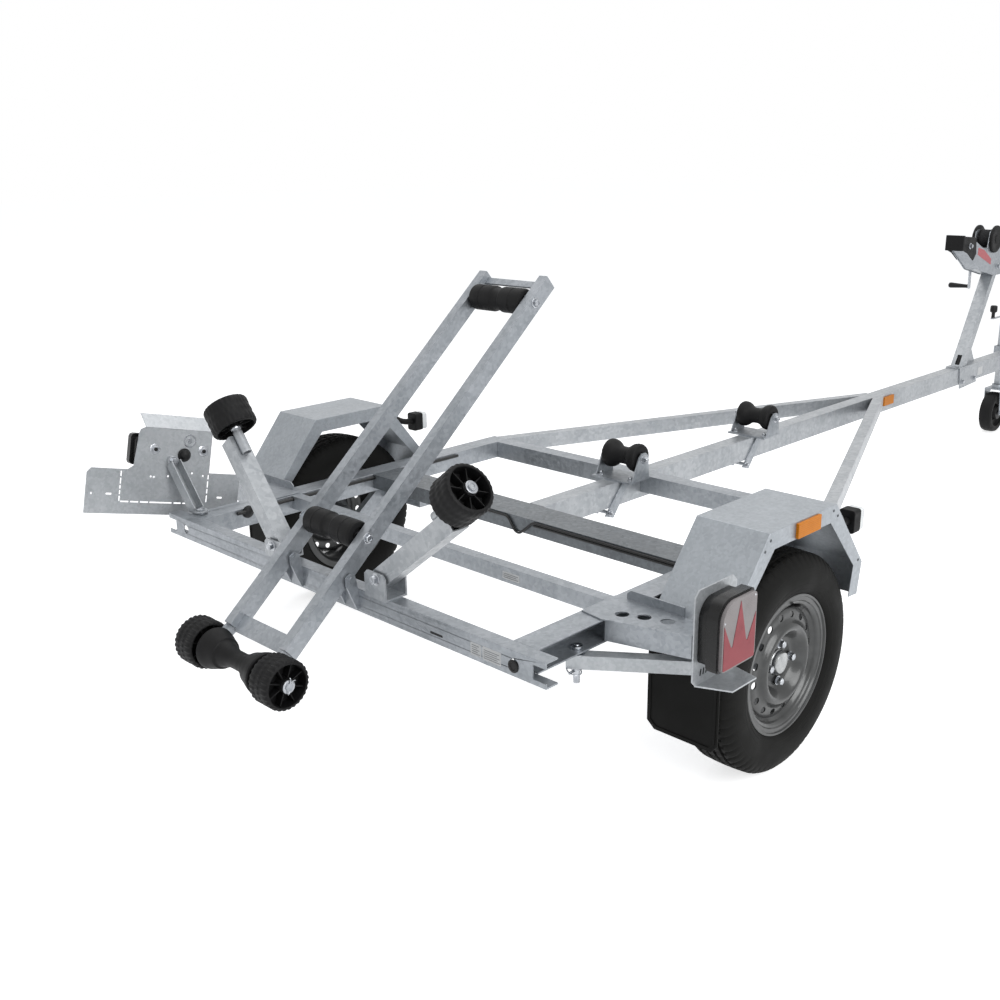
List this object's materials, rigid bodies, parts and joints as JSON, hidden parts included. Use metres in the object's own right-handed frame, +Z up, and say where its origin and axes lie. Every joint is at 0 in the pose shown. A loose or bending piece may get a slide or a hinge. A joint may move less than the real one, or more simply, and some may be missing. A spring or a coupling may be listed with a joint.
{
  "type": "boat trailer",
  "caption": "Single-axle galvanised boat trailer with a tilting rear roller cradle, side and keel rollers, swing-out lights, winch post and jockey wheel.",
  "frame": {"origin": "centre of the tow ball in the coupling head", "axes": "+X forward along the drawbar, +Y to the trailer's left, +Z up; the floor is 0.43 m below the origin"},
  "size_m": [5.5656, 2.044, 1.2027],
  "materials": {
    "galvanised_steel": "hot-dip galvanised, satin, faint spangle",
    "wheel_silver": "silver paint",
    "cast_hub": "dark cast surface",
    "tyre_rubber": "matt",
    "black_rubber": "matt, moulded",
    "jockey_tyre": "matt",
    "black_plastic": "satin moulded",
    "white_lens": "clear ribbed lens",
    "orange_reflector": "prismatic reflector",
    "cable_jacket": "soft PVC"
  },
  "bodies": {
    "chassis": {"axle_crossmember": "galvanised_steel", "bow_stop": "black_rubber", "coupling_handle": "black_plastic", "coupling_head": "galvanised_steel", "cradle_pivot_brackets": "galvanised_steel", "drawbar": "galvanised_steel", "drawbar_stays": "galvanised_steel", "fender_brackets_front": "galvanised_steel", "fender_brackets_rear": "galvanised_steel", "fender_left": "galvanised_steel", "fender_right": "galvanised_steel", "front_crossmember": "galvanised_steel", "jack_clamp": "galvanised_steel", "jack_outer_tube": "galvanised_steel", "keel_beam": "galvanised_steel", "keel_roller_bracket_front": "galvanised_steel", "keel_roller_bracket_rear": "galvanised_steel", "light_pivots": "galvanised_steel", "middle_crossmember": "galvanised_steel", "mudflaps": "black_rubber", "position_lamps": "white_lens", "rear_crossbeam": "galvanised_steel", "side_rails": "galvanised_steel", "side_reflectors": "orange_reflector", "side_roller_arm_left": "galvanised_steel", "side_roller_arm_right": "galvanised_steel", "suspension": "galvanised_steel", "winch_frame": "galvanised_steel", "winch_post": "galvanised_steel", "winch_shaft": "galvanised_steel", "wiring_axle": "cable_jacket", "wiring_rail": "cable_jacket"},
    "left_wheel": {"tyre_left": "tyre_rubber", "rim_left": "wheel_silver", "hub_left": "cast_hub"},
    "right_wheel": {"tyre_right": "tyre_rubber", "rim_right": "wheel_silver", "hub_right": "cast_hub"},
    "cradle": {"cradle_bars": "galvanised_steel", "cradle_crossbars": "galvanised_steel", "cradle_axles": "galvanised_steel", "rear_axle_carrier": "galvanised_steel"},
    "top_roller": {"cradle_roller_top": "black_rubber"},
    "middle_roller": {"cradle_roller_middle": "black_rubber"},
    "rear_rollers": {"rear_roller": "black_rubber", "rear_roller_wheels": "black_rubber"},
    "left_side_roller": {"side_roller_left": "black_rubber"},
    "right_side_roller": {"side_roller_right": "black_rubber"},
    "rear_keel_roller": {"keel_roller_rear": "black_rubber"},
    "front_keel_roller": {"keel_roller_front": "black_rubber"},
    "drum": {"winch_drum": "black_plastic"},
    "crank": {"winch_crank": "galvanised_steel"},
    "jack_leg": {"jack_inner_tube": "galvanised_steel"},
    "jack_caster": {"jack_fork": "galvanised_steel"},
    "jockey_wheel": {"jack_wheel": "jockey_tyre"},
    "left_light": {"light_arm_left": "galvanised_steel", "lamp_left": "black_plastic"},
    "right_light": {"light_arm_right": "galvanised_steel", "lamp_right": "black_plastic"}
  },
  "joints": [
    {"name": "left_wheel_turn", "type": "hinge", "parent": "chassis", "child": "left_wheel", "pos_m": [-4.44, 0.892, -0.14], "axis": [0, 1, 0], "continuous": true},
    {"name": "right_wheel_turn", "type": "hinge", "parent": "chassis", "child": "right_wheel", "pos_m": [-4.44, -0.892, -0.14], "axis": [0, 1, 0], "continuous": true},
    {"name": "cradle_tilt", "type": "hinge", "parent": "chassis", "child": "cradle", "pos_m": [-5.175, 0, 0.086], "axis": [0, 1, 0], "range_deg": [0, 40.8]},
    {"name": "top_roller_turn", "type": "hinge", "parent": "cradle", "child": "top_roller", "pos_m": [-4.4809, 0, 0.70363], "axis": [0, 1, 0], "continuous": true},
    {"name": "middle_roller_turn", "type": "hinge", "parent": "cradle", "child": "middle_roller", "pos_m": [-5.1059, 0, 0.17735], "axis": [0, 1, 0], "continuous": true},
    {"name": "rear_rollers_turn", "type": "hinge", "parent": "cradle", "child": "rear_rollers", "pos_m": [-5.42157, 0, -0.09513], "axis": [0, 1, 0], "continuous": true},
    {"name": "left_side_roller_turn", "type": "hinge", "parent": "chassis", "child": "left_side_roller", "pos_m": [-5.133, 0.41854, 0.41021], "axis": [0, 0.6293, 0.7771], "continuous": true},
    {"name": "right_side_roller_turn", "type": "hinge", "parent": "chassis", "child": "right_side_roller", "pos_m": [-5.133, -0.51322, 0.37308], "axis": [0, -0.788, 0.6157], "continuous": true},
    {"name": "rear_keel_roller_turn", "type": "hinge", "parent": "chassis", "child": "rear_keel_roller", "pos_m": [-3.903, 0, 0.13], "axis": [0, 1, 0], "continuous": true},
    {"name": "front_keel_roller_turn", "type": "hinge", "parent": "chassis", "child": "front_keel_roller", "pos_m": [-3.096, 0, 0.126], "axis": [0, 1, 0], "continuous": true},
    {"name": "drum_turn", "type": "hinge", "parent": "chassis", "child": "drum", "pos_m": [-1.095, 0, 0.665], "axis": [0, 1, 0], "continuous": true},
    {"name": "crank_turn", "type": "hinge", "parent": "chassis", "child": "crank", "pos_m": [-1.09, 0, 0.62], "axis": [0, 1, 0], "continuous": true},
    {"name": "jack_height", "type": "slide", "parent": "chassis", "child": "jack_leg", "axis": [0, 0, 1], "range_m": [-0.2, 0.07]},
    {"name": "jack_caster_turn", "type": "hinge", "parent": "jack_leg", "child": "jack_caster", "pos_m": [-0.445, 0.112, -0.18], "axis": [0, 0, 1], "continuous": true},
    {"name": "jockey_wheel_turn", "type": "hinge", "parent": "jack_caster", "child": "jockey_wheel", "pos_m": [-0.48, 0.112, -0.32], "axis": [0, 1, 0], "continuous": true},
    {"name": "left_light_swing", "type": "hinge", "parent": "chassis", "child": "left_light", "pos_m": [-5.09, 0.705, 0.066], "axis": [0, 0, 1], "range_deg": [0, 96]},
    {"name": "right_light_swing", "type": "hinge", "parent": "chassis", "child": "right_light", "pos_m": [-4.957, -0.702, -0.027], "axis": [0, 0, 1], "range_deg": [-90, 0]}
  ],
  "couplings": [
    {"joint": "crank_turn", "follows": "drum_turn", "ratio": -4}
  ]
}
